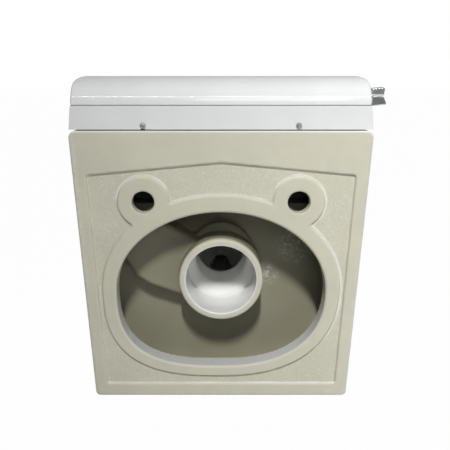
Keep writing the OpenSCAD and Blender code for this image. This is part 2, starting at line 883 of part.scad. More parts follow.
module valve_cartridge() {
  color(brass) translate([-valve_x[1] + cartridge_in, -knob_out, knob_z]) rotate([0, -90, 0])
    difference() {
      cylinder(r = cartridge_r, h = cartridge_len);
      translate([0, 0, cartridge_in - spindle_in - hole_play])
        cylinder(r = spindle_r + turn_play, h = cartridge_len);
    }
}

module valve_body() {
  color(brass) difference() {
    translate([-valve_x[1], -valve_out[1], floor_top])
      cube([valve_x[1] - valve_x[0], valve_out[1] - valve_out[0], valve_top - floor_top]);
    translate([-valve_x[1] + cartridge_in + 0.1, -knob_out, knob_z])
      rotate([0, -90, 0]) cylinder(r = cartridge_r + turn_play, h = cartridge_in + 2 * over);
  }
}

module supply_pipe() {
  color(chrome) translate([-hose_x, -hose_out, 0]) {
    translate([0, 0, collar_top]) cylinder(r = supply_r, h = supply_z - collar_top);
    translate([0, 0, supply_z]) sphere(r = supply_r + elbow_over);
    translate([0, 0, supply_z]) rotate([0, -90, 0]) cylinder(r = supply_r, h = valve_x[0] - hose_x);
  }
}

module inlet_fitting() {
  color(brass) translate([-hose_x, -hose_out, 0]) difference() {
    union() {
      translate([0, 0, nipple_foot]) cylinder(r = nipple_r, h = nut_foot - nut_gap - nipple_foot);
      translate([0, 0, nipple_foot])
        cylinder(r = nipple_r - hole_play, h = floor_top + over - nipple_foot);
      translate([0, 0, floor_top]) cylinder(r = hex_r, h = hex_h, $fn = 6);
      translate([0, 0, floor_top]) cylinder(r = collar_r, h = collar_top - floor_top);
    }
    translate([0, 0, nipple_foot - over]) cylinder(r = supply_r, h = floor_top - nipple_foot);
  }
}

module inlet_nut() {
  color(brass) translate([-hose_x, -hose_out, nut_foot]) difference() {
    cylinder(r = hex_r + nut_gap, h = nut_h, $fn = 6);
    translate([0, 0, -over]) cylinder(r = nipple_r + turn_play, h = nut_h + 2 * over);
  }
}

module flush_pipe() {
  color(plastic) translate([0, -flush_out, 0]) difference() {
    union() {
      translate([0, 0, pipe_foot]) cylinder(r = pipe_r, h = pipe_z - pipe_bend - pipe_foot);
      translate([-pipe_bend, 0, pipe_z - pipe_bend]) rotate([90, 0, 0])
        rotate_extrude(angle = 90) translate([pipe_bend, 0]) circle(r = pipe_r);
      translate([-pipe_bend, 0, pipe_z])
        rotate([0, -90, 0]) cylinder(r = pipe_r, h = valve_x[0] - pipe_bend);
    }
    translate([0, 0, pipe_foot - over]) cylinder(r = pipe_bore, h = pipe_open);
  }
}

module flush_seal() {
  color(rubber) translate([0, -flush_out, seal_foot]) difference() {
    cylinder(r = flush_r - turn_play, h = seal_h);
    translate([0, 0, -over]) cylinder(r = pipe_r + turn_play, h = seal_h + 2 * over);
  }
}

// Nozzle frame: origin at the nozzle's tip, z back along its axis
module at_nozzle(side) {
  translate([side * nozzle_x, nozzle_y, nozzle_z]) rotate([-90 + nozzle_slope, 0, 0]) children();
}

module nozzle_cradle() {
  color(plastic) difference() {
    union() {
      translate([0, nozzle_y, nozzle_z]) rotate([nozzle_slope, 0, 0])
        translate([-2 * nozzle_x, nozzle_len - cradle_len, -cradle_half])
          cube([4 * nozzle_x, cradle_len + cradle_tail, 2 * cradle_half]);
      translate([-cradle_foot[0] / 2, nozzle_y + nozzle_len - cradle_tail - cradle_foot[1], floor_top])
        cube(cradle_foot);
    }
    for (s = [-1, 1]) at_nozzle(s) translate([0, 0, -over])
      cylinder(r = nozzle_r + turn_play, h = nozzle_len + over + 0.5);
  }
}

module nozzle(side) {
  color(chrome) at_nozzle(side) difference() {
    union() {
      cylinder(r1 = nozzle_r - tip_len, r2 = nozzle_r, h = tip_len);
      translate([0, 0, tip_len]) cylinder(r = nozzle_r, h = nozzle_len - tip_len);
    }
    for (a = [-1, 0, 1]) translate([a * jet_gap, 0, jet_in])
      rotate([90, 0, 0]) cylinder(r = jet_r, h = nozzle_r + over);
  }
}

module rear_nozzle() {
  nozzle(1);
}

module front_nozzle() {
  nozzle(-1);
}

module nozzle_hoses() {
  color(rubber) for (z = tube_z)
    translate([-valve_x[0], -tube_line, z]) rotate([0, 90, 0])
      cylinder(r = tube_r, h = valve_x[0] - 2 * nozzle_x);
}

pan();
side_plugs();
deck_dowels();
deck_bolts();
mounting_plate();
base_pads();
unit_base();
rear_panel();
panel_screws();
top_cover();
left_damper();
right_damper();
seat_ring();
seat_buffers();
lid();
lid_buffers();
knob_bezel();
wash_knob();
knob_spindle();
valve_cartridge();
valve_body();
supply_pipe();
inlet_fitting();
inlet_nut();
flush_pipe();
flush_seal();
nozzle_cradle();
rear_nozzle();
front_nozzle();
nozzle_hoses();
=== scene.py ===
# %% [markdown]
# # A wall hung toilet, seen from the wall
# The pan is one casting of vitreous china: white glaze outside and in the bowl, bare clay at the back,
# where it meets the wall. A low seat unit with a seat, a lid and a side knob sits on its deck.
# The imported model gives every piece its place. This file gives the pieces that show their soft
# ceramic and moulded shapes, and a finish to all of them.

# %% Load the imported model
import json
import math
import bpy
import numpy as np
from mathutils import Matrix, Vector


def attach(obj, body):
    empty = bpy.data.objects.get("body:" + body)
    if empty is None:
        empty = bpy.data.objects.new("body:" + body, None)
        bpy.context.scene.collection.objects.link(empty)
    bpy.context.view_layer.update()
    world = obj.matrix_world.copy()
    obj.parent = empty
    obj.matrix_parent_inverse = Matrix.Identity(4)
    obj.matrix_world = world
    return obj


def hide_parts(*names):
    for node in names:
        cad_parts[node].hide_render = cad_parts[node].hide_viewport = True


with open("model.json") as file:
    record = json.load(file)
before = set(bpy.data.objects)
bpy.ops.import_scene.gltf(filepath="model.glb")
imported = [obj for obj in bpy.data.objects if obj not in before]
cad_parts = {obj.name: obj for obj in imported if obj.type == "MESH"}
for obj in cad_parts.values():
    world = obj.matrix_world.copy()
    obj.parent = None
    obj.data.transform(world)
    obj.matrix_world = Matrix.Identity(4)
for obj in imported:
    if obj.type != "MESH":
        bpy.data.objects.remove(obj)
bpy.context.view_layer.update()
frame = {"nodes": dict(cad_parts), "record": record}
nodes = frame["nodes"]
print("pieces in the packed model:", len(nodes))

# %% [markdown]
# ## The camera
# The photograph looks at the back from the wall's side and a little from above. Three measures of the
# picture fix the view: the bolt holes are 180 mm apart, the sides converge, and the spigot lies 100 mm
# lower. A camera 0.73 m behind the wall plane, tilted down 14 degrees, puts all three in place.

# %% Camera
MM = 0.001
picture_px = 450
focal_px = 646
sensor_mm = 36
object_column_px = 221
eye_out, eye_up, eye_tilt = 0.728, 0.155, 14

eye = bpy.data.objects.new("eye", bpy.data.cameras.new("eye"))
bpy.context.scene.collection.objects.link(eye)
eye.data.sensor_width = sensor_mm
eye.data.lens = sensor_mm * focal_px / picture_px
eye.data.shift_x = (picture_px / 2 - object_column_px) / picture_px
eye.data.clip_start = 0.05
eye.location = (0, eye_out, eye_up)
eye.rotation_euler = (math.radians(90 - eye_tilt), 0, math.radians(180))
bpy.context.scene.camera = eye
print("lens in mm:", round(eye.data.lens, 1))

# %% [markdown]
# ## Light
# Three shadows in the pocket, of the spigot, the trap's arm and the pocket's own rim, agree on a small
# lamp about 50 degrees up, straight behind the viewer. The back is brighter at the right of the picture,
# so this key lamp is turned far that way and the left gets less of it. A weak fill near the eye lifts
# the shadows, a long narrow strip adds nothing but the highlight along the cover's shoulder, and a lamp
# in front keeps the sitter's side from going black. Key and front lamp aren't seen in reflections, where
# they would leave hard bright spots. Glowing planes could do the same work, with more noise.

# %% Lamps
def soft_lamp(name, place, target, size, watts):
    """Oblong lamp at a place, facing a target, all in metres."""
    lamp = bpy.data.lights.new(name, "AREA")
    lamp.shape = "RECTANGLE"
    lamp.size, lamp.size_y = size
    lamp.energy = watts
    holder = bpy.data.objects.new(name, lamp)
    bpy.context.scene.collection.objects.link(holder)
    holder.location = place
    away = Vector(np.subtract(place, target))
    holder.rotation_euler = away.to_track_quat("Z", "Y").to_euler()
    return holder


key = soft_lamp("key", place=(0, 2.0, 2.2), target=(-12.5, 0.2, 0), size=(0.5, 0.3), watts=345)
key.visible_glossy = False
eye_fill = soft_lamp("eye_fill", place=(-0.2, 1.7, 0.62), target=(0, 0, 0), size=(0.6, 0.3), watts=2.2)
strip = soft_lamp("strip", place=(0.1, 1.85, 1.2), target=(0, 0, 0.05), size=(2.6, 0.05), watts=9)
strip.visible_diffuse = False
front_fill = soft_lamp("front_fill", place=(0.3, -2.2, 0.9), target=(0, -0.3, 0), size=(1.6, 1.2), watts=8)
front_fill.visible_glossy = False
print("lamps in watts:", {lamp.name: round(lamp.data.energy, 1) for lamp in (key, eye_fill, strip, front_fill)})

# %% [markdown]
# ## Shader maths as Python
# A procedural finish is a sum: a mask here, a noise there. Writing each Math node by hand hides the
# sum, so a small class wraps a socket and lets Python's own operators add the nodes.

# %% A socket that can be added and multiplied
class Wire:
    """One output socket in a node tree. Operators add Math nodes behind it."""

    def __init__(self, tree, socket):
        self.tree, self.socket = tree, socket

    def calc(self, operation, *values):
        return add_node(self.tree, "ShaderNodeMath", {"operation": operation}, dict(enumerate(values)))

    def __add__(self, other): return self.calc("ADD", self, other)
    def __radd__(self, other): return self.calc("ADD", other, self)
    def __sub__(self, other): return self.calc("SUBTRACT", self, other)
    def __rsub__(self, other): return self.calc("SUBTRACT", other, self)
    def __mul__(self, other): return self.calc("MULTIPLY", self, other)
    def __rmul__(self, other): return self.calc("MULTIPLY", other, self)
    def __truediv__(self, other): return self.calc("DIVIDE", self, other)
    def __rtruediv__(self, other): return self.calc("DIVIDE", other, self)
    def __pow__(self, other): return self.calc("POWER", self, other)
    def __abs__(self): return self.calc("ABSOLUTE", self)
    def __neg__(self): return self * -1.0

    def ramp(self, start, end, first=0.0, last=1.0):
        """Smooth step from first to last as the value goes from start to end."""
        return add_node(self.tree, "ShaderNodeMapRange", {"interpolation_type": "SMOOTHSTEP"},
                        {"Value": self, "From Min": start, "From Max": end,
                         "To Min": first, "To Max": last})

    def near(self, centre, width):
        """1 at the centre value, falling to 0 at width from it."""
        return abs(self - centre).ramp(0, width, 1, 0)

    def within(self, low, high, soft=0.5):
        """1 between two values, 0 outside them, with soft ends."""
        return self.ramp(low - soft, low) * self.ramp(high, high + soft, 1, 0)


def add_node(tree, kind, settings=None, inputs=None, out=0):
    """Any node: its settings first, then the values or links of its sockets."""
    made = tree.nodes.new(kind)
    for key, value in (settings or {}).items():
        setattr(made, key, value)
    for key, value in (inputs or {}).items():
        socket = made.inputs[key]
        if isinstance(value, Wire):
            tree.links.new(value.socket, socket)
        else:
            socket.default_value = value
    return Wire(tree, made.outputs[out])


def blend(first, second, share):
    """Colour between two colours, by a share from 0 to 1."""
    tree = next(w.tree for w in (share, first, second) if isinstance(w, Wire))
    rgba = lambda c: c if isinstance(c, Wire) else (*c, 1)
    return add_node(tree, "ShaderNodeMix", {"data_type": "RGBA"},
                    {0: share, 6: rgba(first), 7: rgba(second)}, out=2)


# %% Measures that work on numbers and on sockets alike
def measure(operation, on_numbers, *values):
    """One step of maths, as a Math node if any value is a socket."""
    wire = next((v for v in values if isinstance(v, Wire)), None)
    return wire.calc(operation, *values) if wire else on_numbers(*values)


def larger(a, b):
    return measure("MAXIMUM", np.maximum, a, b)


def smaller(a, b):
    return measure("MINIMUM", np.minimum, a, b)


def square_root(a):
    return measure("SQRT", np.sqrt, a)


def both_of(a, b, r=0.0):
    """What lies in a and in b, with a round edge of radius r."""
    if r == 0:
        return larger(a, b)
    u, v = larger(a + r, 0), larger(b + r, 0)
    return smaller(larger(a, b), -r) + square_root(u * u + v * v)


def either_of(a, b, r=0.0):
    """What lies in a or in b, with a hollow fillet of radius r."""
    return -both_of(-a, -b, r)


def cut(a, b, r=0.0):
    """What is left of a without b, with a round edge of radius r."""
    return both_of(a, -b, r)


def between(v, low, high):
    return larger(low - v, v - high)


def rod(u, v, r):
    """Endless round rod of radius r along the third direction."""
    return square_root(u * u + v * v) - r


def step_up(v):
    """1 above zero, 0 below it."""
    return measure("GREATER_THAN", lambda a, b: np.where(a > b, 1.0, 0.0), v, 0)


# %% A finish and what it is made of
class Finish:
    """One material: its place on the object in millimetres, its noises and its shader."""

    def __init__(self, name, **constants):
        self.material = bpy.data.materials.new(name)
        self.material.use_nodes = True
        self.tree = self.material.node_tree
        self.shader = self.tree.nodes["Principled BSDF"]
        for key, value in constants.items():
            self.shader.inputs[key.replace("_", " ")].default_value = value
        place = add_node(self.tree, "ShaderNodeTexCoord", out=3)
        self.place = add_node(self.tree, "ShaderNodeVectorMath", {"operation": "SCALE"},
                              {0: place, 3: 1000.0})
        apart = add_node(self.tree, "ShaderNodeSeparateXYZ", None, {0: self.place})
        axes = apart.socket.node.outputs
        self.x, self.y, self.z = (Wire(self.tree, axes[i]) for i in range(3))

    def noise(self, size_mm, detail=2.0, rough=0.5, stretch=None):
        """Noise between 0 and 1 whose lumps measure about size_mm."""
        at = self.place
        if stretch:
            at = add_node(self.tree, "ShaderNodeVectorMath", {"operation": "MULTIPLY"}, {0: at, 1: stretch})
        return add_node(self.tree, "ShaderNodeTexNoise", None,
                        {"Vector": at, "Scale": 1 / size_mm, "Detail": detail, "Roughness": rough})

    def specks(self, size_mm):
        """Distance to the nearest of many scattered points, in cells of size_mm."""
        return add_node(self.tree, "ShaderNodeTexVoronoi", None, {"Vector": self.place, "Scale": 1 / size_mm})

    def facing(self):
        """The surface's own direction, as x, y and z parts in the object's frame."""
        normal = add_node(self.tree, "ShaderNodeTexCoord", out=1)
        apart = add_node(self.tree, "ShaderNodeSeparateXYZ", None, {0: normal})
        return [Wire(self.tree, apart.socket.node.outputs[i]) for i in range(3)]

    def set(self, **wires):
        for key, wire in wires.items():
            self.tree.links.new(wire.socket, self.shader.inputs[key.replace("_", " ")])
        return self

    def relief(self, height_mm, strength=1.0):
        """Small unevenness, its height given in millimetres."""
        bump = add_node(self.tree, "ShaderNodeBump", None,
                        {"Strength": strength, "Distance": MM, "Height": height_mm})
        return self.set(Normal=bump)


print("shader helpers ready")

# %% [markdown]
# ## White surroundings
# The ground of the picture is pure white. Surroundings as white as that would light the object from all
# sides and wash out the shadows that show its depth. So world and floor are white for the camera alone:
# reflections see a share of that white, so that metal isn't black, and the lamps do the lighting.

# %% World and floor
def white_for_the_eye(tree, share):
    """1 for rays from the camera, a share for reflections, so metal isn't black, and 0 for lighting rays."""
    ray = add_node(tree, "ShaderNodeLightPath").socket.node.outputs
    reflected = larger(Wire(tree, ray["Is Glossy Ray"]), Wire(tree, ray["Is Transmission Ray"]))
    return larger(Wire(tree, ray["Is Camera Ray"]), share * reflected)


world = bpy.data.worlds.new("studio")
bpy.context.scene.world = world
world.use_nodes = True
around = world.node_tree
ambient, world_share, floor_share, floor_glow = 0.05, 0.45, 0.12, 0.985
sky = add_node(around, "ShaderNodeBackground", None,
               {"Color": (1, 1, 1, 1), "Strength": ambient + (1 - ambient) * white_for_the_eye(around, world_share)})
around.links.new(sky.socket, around.nodes["World Output"].inputs["Surface"])

floor_z = -0.9
floor_half = 30
bpy.ops.mesh.primitive_plane_add(size=2 * floor_half, location=(0, 0, floor_z))
floor = bpy.context.object
floor.name = "floor"
floor_finish = bpy.data.materials.new("pale_floor")
floor_finish.use_nodes = True
tree = floor_finish.node_tree
matt = tree.nodes["Principled BSDF"]
matt.inputs["Base Color"].default_value = (0.8, 0.8, 0.8, 1)
matt.inputs["Roughness"].default_value = 0.9
glow = add_node(tree, "ShaderNodeEmission", None, {"Color": (1, 1, 1, 1), "Strength": 1.0})
both = add_node(tree, "ShaderNodeMixShader", None,
                {0: floor_glow * white_for_the_eye(tree, floor_share), 1: Wire(tree, matt.outputs[0]), 2: glow})
tree.links.new(both.socket, tree.nodes["Material Output"].inputs["Surface"])
floor.data.materials.append(floor_finish)
bpy.context.scene.view_settings.view_transform = "Standard"
print("floor", -floor_z, "m below the bolts")

# %% [markdown]
# ## Solid shapes from distances
# Cast china has no sharp edge: every corner is a fillet and every join flows. Such a form is easy to
# write as a distance, a function that is negative inside the clay and positive outside. Two bodies are
# joined, or one is cut from another, with a fillet of a chosen radius. All lengths here are millimetres.

# %% Round bars, ovals and outlines
def pipe_run(x, y, z, p, q, r):
    """Round bar with round ends between two points."""
    p, q = np.array(p, float), np.array(q, float)
    d = q - p
    t = ((x - p[0]) * d[0] + (y - p[1]) * d[1] + (z - p[2]) * d[2]) / (d @ d)
    t = np.clip(t, 0, 1)
    return np.sqrt((x - p[0] - t * d[0]) ** 2 + (y - p[1] - t * d[1]) ** 2
                   + (z - p[2] - t * d[2]) ** 2) - r


def oval(u, v, a, b):
    """Near an oval of half axes a and b, the distance to it."""
    k1 = np.sqrt((u / a) ** 2 + (v / b) ** 2)
    k2 = np.sqrt((u / a ** 2) ** 2 + (v / b ** 2) ** 2)
    return k1 * (k1 - 1) / np.maximum(k2, 1e-6)


def soft_oval(x, z, a, b):
    """Oval whose foot is squarer than its head, and more so at its left."""
    u, v = abs(x) / a, abs(z) / b
    head, left = step_up(z), step_up(x)
    n = 2 + (1 - head) * (foot_right_power - 2 + left * (foot_left_power - foot_right_power))
    return ((u ** n + v ** n) ** (1 / n) - 1) * (a + b) / 2


def outline(points, u, v):
    """Distance to a closed outline of points, negative inside."""
    u, v = np.broadcast_arrays(u, v)
    best = np.full(u.shape, 1e12)
    inside = np.zeros(u.shape, bool)
    for (u0, v0), (u1, v1) in zip(points, points[1:] + points[:1]):
        du, dv = u1 - u0, v1 - v0
        t = np.clip(((u - u0) * du + (v - v0) * dv) / (du * du + dv * dv), 0, 1)
        best = np.minimum(best, (u - u0 - t * du) ** 2 + (v - v0 - t * dv) ** 2)
        if dv:
            crossing = ((v0 > v) != (v1 > v)) & (u < u0 + (v - v0) / dv * du)
            inside ^= crossing
    return np.where(inside, -1, 1) * np.sqrt(best)


print("from a point 12 mm out to a rod of 10 mm radius:", rod(12.0, 0.0, 10.0), "mm")

# %% [markdown]
# ## From a distance to a mesh
# The distance is worked out on a grid. Every grid cell that the surface passes through gets one point,
# and every grid edge that it crosses gets one face between four such points. Then each point slides
# along the slope of the distance until it lies on the surface, and takes its direction from the slope,
# so even a coarse mesh shades like the true form. Blender's own metaballs would be quicker to write, but
# they hold neither a flat face nor a chosen fillet. A mesh with too many triangles is thinned on the way.

# %% Mesh from a distance
def surface_net(field, axes):
    """Points and four-sided faces of the surface where the field is zero."""
    xs, ys, zs = axes
    f = field(xs[:, None, None], ys[None, :, None], zs[None, None, :])
    f = np.broadcast_to(f, (len(xs), len(ys), len(zs)))
    cells = tuple(n - 1 for n in f.shape)
    total, count = np.zeros((np.prod(cells), 3)), np.zeros(np.prod(cells))
    faces = []
    for a in range(3):
        b, c = (a + 1) % 3, (a + 2) % 3
        first, second = np.moveaxis(f, a, 0)[:-1], np.moveaxis(f, a, 0)[1:]
        crossed = np.argwhere((first < 0) != (second < 0))
        f0, f1 = first[tuple(crossed.T)], second[tuple(crossed.T)]
        others = [k for k in range(3) if k != a]
        low = np.empty_like(crossed)
        low[:, a], low[:, others[0]], low[:, others[1]] = crossed.T
        point = np.stack([axes[k][low[:, k]] for k in range(3)], 1)
        point[:, a] += f0 / (f0 - f1) * np.diff(axes[a])[low[:, a]]
        round_edge = []
        for db, dc in ((0, 0), (-1, 0), (-1, -1), (0, -1)):
            cell = low.copy()
            cell[:, b] += db
            cell[:, c] += dc
            number = np.ravel_multi_index(cell.T, cells)
            round_edge.append(number)
            count += np.bincount(number, minlength=count.size)
            for k in range(3):
                total[:, k] += np.bincount(number, point[:, k], minlength=count.size)
        face = np.stack(round_edge, 1)
        face[f0 >= 0] = face[f0 >= 0][:, ::-1]
        faces.append(face)
    used = np.flatnonzero(count)
    new_number = np.full(count.size, -1)
    new_number[used] = np.arange(used.size)
    return total[used] / count[used, None], new_number[np.concatenate(faces)]


def slope(field, p, step=0.02):
    """Gradient of the field at points."""
    x, y, z = p.T
    return np.stack([field(x + step, y, z) - field(x - step, y, z),
                     field(x, y + step, z) - field(x, y - step, z),
                     field(x, y, z + step) - field(x, y, z - step)], 1) / (2 * step)


def settle(field, p, rounds=4, most=0.8, normal_step=0.25):
    """Points moved along the slope onto the surface, and the directions there."""
    for _ in range(rounds):
        g = slope(field, p)
        size = np.maximum(np.linalg.norm(g, axis=1), 0.2)
        move = np.clip(field(*p.T) / size, -most, most)
        p = p - g / size[:, None] * move[:, None]
    g = slope(field, p, normal_step)
    return p, g / np.maximum(np.linalg.norm(g, axis=1), 1e-9)[:, None]


def steps(low, high, size):
    """Grid lines from below low to above high."""
    return np.linspace(low - size, high + size, int(round((high - low) / size)) + 3)


def mesh_object(name, points_mm, faces):
    data = bpy.data.meshes.new(name)
    data.from_pydata((points_mm * MM).tolist(), [], faces.tolist())
    made = bpy.data.objects.new(name, data)
    bpy.context.scene.collection.objects.link(made)
    return made


def form(name, field, axes, most_triangles):
    """A smooth mesh object of the surface where the field is zero."""
    points, faces = surface_net(field, axes)
    made = mesh_object(name, points, faces)
    triangles = 2 * len(faces)
    if triangles > most_triangles:
        thin = made.modifiers.new("thin", "DECIMATE")
        thin.ratio = most_triangles / triangles
        view = bpy.context.evaluated_depsgraph_get()
        thinned = bpy.data.meshes.new_from_object(made.evaluated_get(view))
        made.modifiers.clear()
        made.data = thinned
    co = np.empty(len(made.data.vertices) * 3)
    made.data.vertices.foreach_get("co", co)
    points, normals = settle(field, co.reshape(-1, 3) / MM)
    made.data.vertices.foreach_set("co", (points * MM).ravel())
    made.data.shade_smooth()
    made.data.normals_split_custom_set_from_vertices(normals.tolist())
    made.data.update()
    print(name, "faces:", len(made.data.polygons))
    return made


fine = 1.0
print("grid cells are stretched by", fine)

# %% [markdown]
# ## The pan's outside
# The plan of the pan is a straight back and straight sides that end in a soft square nose. Going down,
# the sides draw in a little and the nose draws back a lot, along a power curve. It could be sculpted
# from a subdivided box; a few formulas keep its exact width, height and reach.

# %% Outside of the pan
bolts_to_top, bolts_to_foot = 82, 245
top_width, foot_width, reach_at_top, foot_setback, nose = 345, 310, 540, 200, 240
rim_round, foot_round, wall_round = 8, 5, 2.4
pan_height = bolts_to_top + bolts_to_foot


def side_at(z):
    return foot_width / 2 + (top_width - foot_width) / 2 * (z + bolts_to_foot) / pan_height


def reach_at(z):
    down = np.clip((bolts_to_top - z) / pan_height, 0, 2)
    return reach_at_top - foot_setback * down ** 2.6


def soft_plan(x, y, side, reach, turn, back=None):
    """Distance in plan to straight sides with a soft square nose."""
    u = np.abs(x) / side
    v = np.maximum(-y - (reach - turn), 0) / turn
    s = np.maximum(np.cbrt(u ** 3 + v ** 3), 1e-6)
    tilt = np.sqrt((u * u / side) ** 2 + (v * v / turn) ** 2) / (s * s)
    plan = (s - 1) / np.maximum(tilt, 1 / (side + turn))
    return plan if back is None else both_of(plan, y + back, 2)


def pan_outside(x, y, z):
    plan = soft_plan(x, y, side_at(z), reach_at(z), nose) * 0.9
    body = both_of(plan, z - bolts_to_top, rim_round)
    body = both_of(body, -bolts_to_foot - z, foot_round)
    return both_of(body, y, wall_round)


print("the pan reaches", reach_at_top, "mm and is", pan_height, "mm high")

# %% [markdown]
# ## The bowl and the trap
# The bowl is a stack of ovals that shrink towards the sump. From the sump the trap dips, climbs over its
# crest and falls into the outlet: three straight runs with round joints, as wide as a fist. A curve with
# a bevel could draw the trap, but its join to the bowl would need work by hand. Here it is one fillet.

# %% Bowl, trap and water ways
rim_side, rim_front, bowl_start = 37, 34, 165
sump_r, sump_out, dip_drop = 30, 288, 196
trap_r, outlet_drop, outlet_r, bore_r, outlet_inset = 32, 100, 51, 42.75, 17
bowl_half = (top_width / 2 - rim_side, (reach_at_top - rim_front - bowl_start) / 2)
bowl_mid = (reach_at_top - rim_front + bowl_start) / 2
dip_out, crest_out, crest_rise, root_out = 212, 122, 24, 62
sump, dip = (0, -sump_out, -dip_drop), (0, -dip_out, -dip_drop)
crest, root = (0, -crest_out, -outlet_drop + crest_rise), (0, -root_out, -outlet_drop)


def bowl(x, y, z):
    s = np.clip((bolts_to_top - z) / (bolts_to_top + dip_drop), 0, 1)
    k = (1 - s ** 2.2) ** 0.625
    middle = -sump_out + (sump_out - bowl_mid) * k
    around_it = oval(x, y - middle, sump_r + (bowl_half[0] - sump_r) * k, sump_r + (bowl_half[1] - sump_r) * k)
    return both_of(around_it, -dip_drop - z)


def trap(x, y, z):
    runs = [pipe_run(x, y, z, p, q, trap_r) for p, q in ((sump, dip), (dip, crest), (crest, root))]
    way = either_of(either_of(runs[0], runs[1], 10), runs[2], 10)
    bore = both_of(rod(x, z + outlet_drop, bore_r), -72 - y)
    return either_of(way, bore, 14)


hose_x, hose_out, hose_r, hose_foot = 48, 62, 17, 32
flush_out, flush_z, flush_r, flush_top, flush_far = 38, 50, 13, 120, 190


def water_ways(x, y, z):
    hose = both_of(rod(x + hose_x, y + hose_out, hose_r), -hose_foot - z)
    down = pipe_run(x, y, z, (0, -flush_out, flush_z), (0, -flush_out, flush_top), flush_r)
    along = pipe_run(x, y, z, (0, -flush_out, flush_z), (0, -flush_far, flush_z), flush_r)
    return np.minimum(hose, either_of(down, along, 3))


print("the bowl opens", round(2 * bowl_half[0]), "by", round(2 * bowl_half[1]), "mm")

# %% [markdown]
# ## The pocket at the back
# An oval pocket gives the plumber room round the outlet. Behind a mouth as thick as a thumb it widens,
# most at its foot, so the mouth's inner edge stands out against the dark behind it. The spigot stands in
# the pocket, the trap's arch rises behind the spigot, and one arm of the trap bulges out beside it.
# Cut out with booleans these bodies would meet in sharp lines; as distances they flow into each other.

# %% Pocket, spigot and trap arm
ring_a, ring_b, ring_w, ring_z, mouth_drop = 141.5, 113.5, 17, -105, 3.5
foot_left_power, foot_right_power = 2.8, 2.35
pocket_z = ring_z - mouth_drop
mouth_a, mouth_b = ring_a - ring_w, ring_b - ring_w
lip_t, wider, pocket_dip, pocket_foot, pocket_lean = 23, 10, 22, 64, math.radians(5)
arch_r, arch_z = 40, -79
arm_outline = [(20, -60), (62, -36), (96, -18), (150, -40), (122, -84), (110, -107), (92, -119), (20, -145)]
arm_out, arm_round = 45, 7


def pocket(x, y, z):
    mouth = soft_oval(x, z - pocket_z, mouth_a, mouth_b)
    behind = both_of(soft_oval(x, z - pocket_z + pocket_dip / 2, mouth_a + wider, mouth_b + pocket_dip / 2),
                     y + lip_t, 2)
    wall = -(y + pocket_foot) * math.cos(pocket_lean) - (z - pocket_z + mouth_b) * math.sin(pocket_lean)
    room = both_of(either_of(mouth, behind, 0.6), wall, 3)
    spigot = both_of(rod(x, z + outlet_drop, outlet_r), y + outlet_inset, 2.5)
    arch = either_of(pipe_run(x, y, z, root, crest, trap_r + 11),
                     both_of(rod(x, z - arch_z, arch_r), y + 62, 4), 2)
    arm = both_of(outline(arm_outline, x, z) + arm_round - 4, y + arm_out, arm_round)
    inner = either_of(either_of(spigot, arch, 3), arm, 4)
    return cut(room, inner, 4)


print("the pocket's mouth is", 2 * mouth_a, "by", 2 * mouth_b, "mm")

# %% [markdown]
# ## The panel, the ring and the bolt bosses
# Most of the back is sunk by 3 mm so that only the border, the ring round the pocket and the two bosses
# touch the wall. The sunk panel ends in a low gable at the top. Behind each boss a room takes the end of
# a wall bolt and its nut, and a hole in the pan's side lets the spanner in. The outlines of panel, ring
# and boss are functions of their own, because the finish asks them where the sand and the lines go.

# %% Sunk panel and bolt ducts
border, panel_top, gable, panel_sunk = 15.5, 31.5, 14.5, 3
bolt_x, bolt_r, boss_r, plate_t = 90, 12.9, 30, 15
room_in, room_half, room_wall, shallow_out, deep_out, ledge_z = 18, 20, 11, 32, 58, -7
access_out, access_r, access_depth = 37, 17, 17


def raised(x, z):
    ring = soft_oval(x, z - ring_z, ring_a, ring_b)
    boss = rod(abs(x) - bolt_x, z, boss_r)
    return either_of(ring, boss, 3)


def panel(x, z):
    top_x, foot_z = side_at(panel_top) - border, -bolts_to_foot + border + 1
    rise = gable / top_x
    roof = (z - panel_top - gable + rise * abs(x)) * (1 / math.hypot(1, rise))
    lean = (top_width - foot_width) / 2 / pan_height
    side = (abs(x) - side_at(z) + border) * (1 / math.hypot(1, lean))
    return both_of(both_of(roof, side, 4), foot_z - z, 4)


def bolt_room(x, y, z):
    across = between(np.abs(x), bolt_x - room_in, side_at(-room_half) - room_wall)
    shallow = both_of(both_of(across, between(z, -room_half, room_half), 2), between(y, -shallow_out, -plate_t), 1)
    deep = both_of(both_of(across, between(z, ledge_z, room_half), 2), between(y, -deep_out, -plate_t), 1)
    hole = both_of(rod(np.abs(x) - bolt_x, z, bolt_r), -plate_t - 2 - y)
    taper = math.atan((top_width - foot_width) / 2 / pan_height)
    along = (np.abs(x) - side_at(0)) * math.cos(taper) - z * math.sin(taper)
    across_it = (np.abs(x) - side_at(0)) * math.sin(taper) + z * math.cos(taper)
    side_hole = both_of(rod(y + access_out, across_it, access_r), -access_depth - along)
    return either_of(np.minimum(np.minimum(shallow, deep), side_hole), hole, 1.2)


def pan_clay(x, y, z):
    sunk = both_of(cut(panel(x, z), raised(x, z), 1.5), -panel_sunk - y, 0.9)
    body = cut(pan_outside(x, y, z), sunk, 2.0)
    body = cut(body, pocket(x, y, z), 3)
    body = cut(body, bowl(x, y, z), 9)
    body = cut(body, trap(x, y, z), 1.5)
    body = cut(body, water_ways(x, y, z), 2)
    return cut(body, bolt_room(x, y, z), 1.2)


pan_axes = [
    steps(-top_width / 2, top_width / 2, 2.0 * fine),
    np.concatenate([np.arange(-reach_at_top - 4, -104, 4.0 * fine), np.arange(-104, -6, 2.0 * fine),
                    np.arange(-6, 3, 1.0)]),
    steps(-bolts_to_foot, bolts_to_top, 2.0 * fine)]
pan = form("pan_casting", pan_clay, pan_axes, most_triangles=190000)

